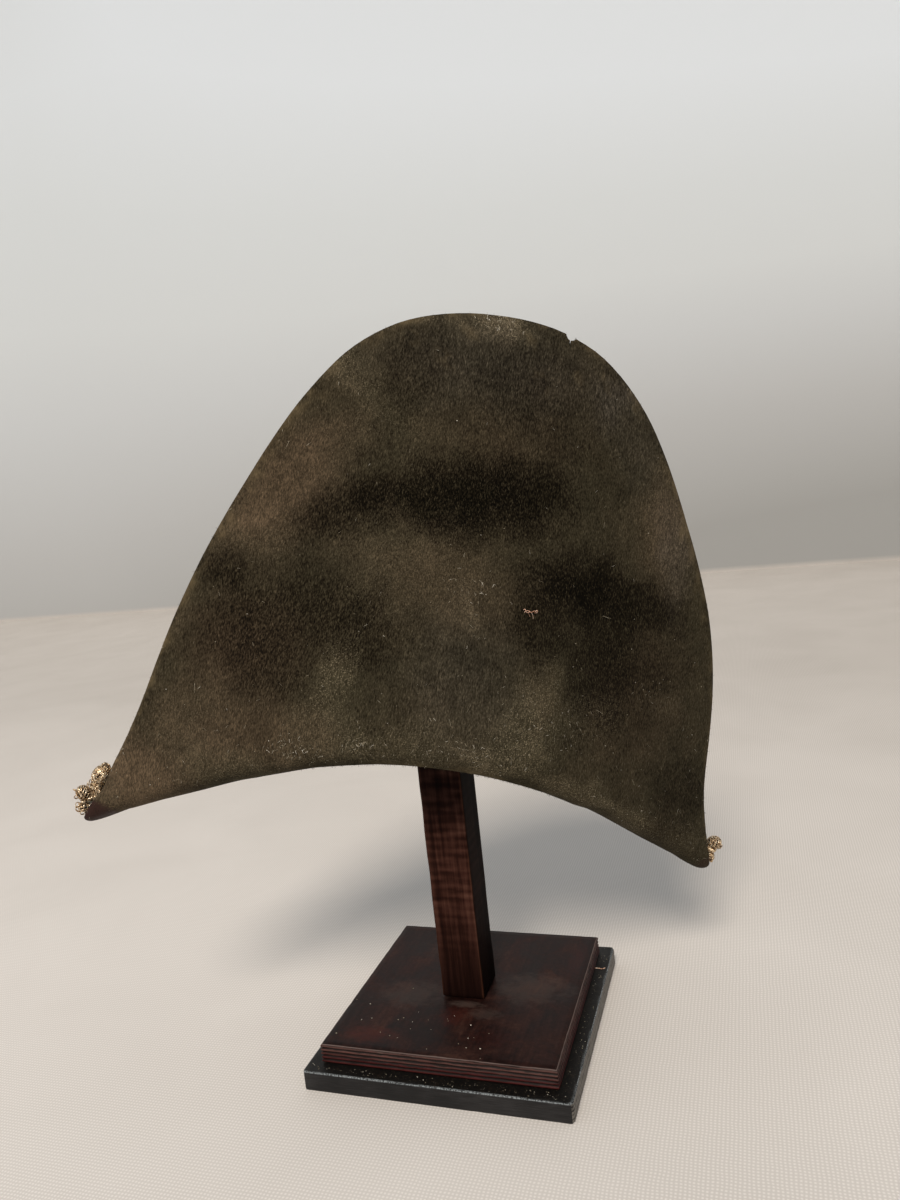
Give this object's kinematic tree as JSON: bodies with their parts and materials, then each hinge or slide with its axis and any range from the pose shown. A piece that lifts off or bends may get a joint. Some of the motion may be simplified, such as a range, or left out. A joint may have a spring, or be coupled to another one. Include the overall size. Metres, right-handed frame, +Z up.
{
  "type": "bicorne hat on a display stand",
  "caption": "Tall felt bicorne with turned-up flaps and bullion tassels at its tips, resting on a square post above a stepped wooden base.",
  "frame": {"origin": "middle of the underside of the stand's lower board", "axes": "+Z up along the post, +X along the base's front edge, -Y out of the face of the tall flap, to which the hat is turned 28 degrees"},
  "size_m": [0.4387, 0.2518, 0.5437],
  "materials": {
    "felt": "worn matt felt",
    "bullion": "tarnished gilt wire",
    "stained_wood": "satin dark red stain",
    "black_wood": "satin black paint"
  },
  "bodies": {
    "root": {"felt_body": "felt", "tassel_right": "bullion", "tassel_left": "bullion", "post": "stained_wood", "plinth_board": "stained_wood", "base_board": "black_wood"}
  },
  "joints": []
}
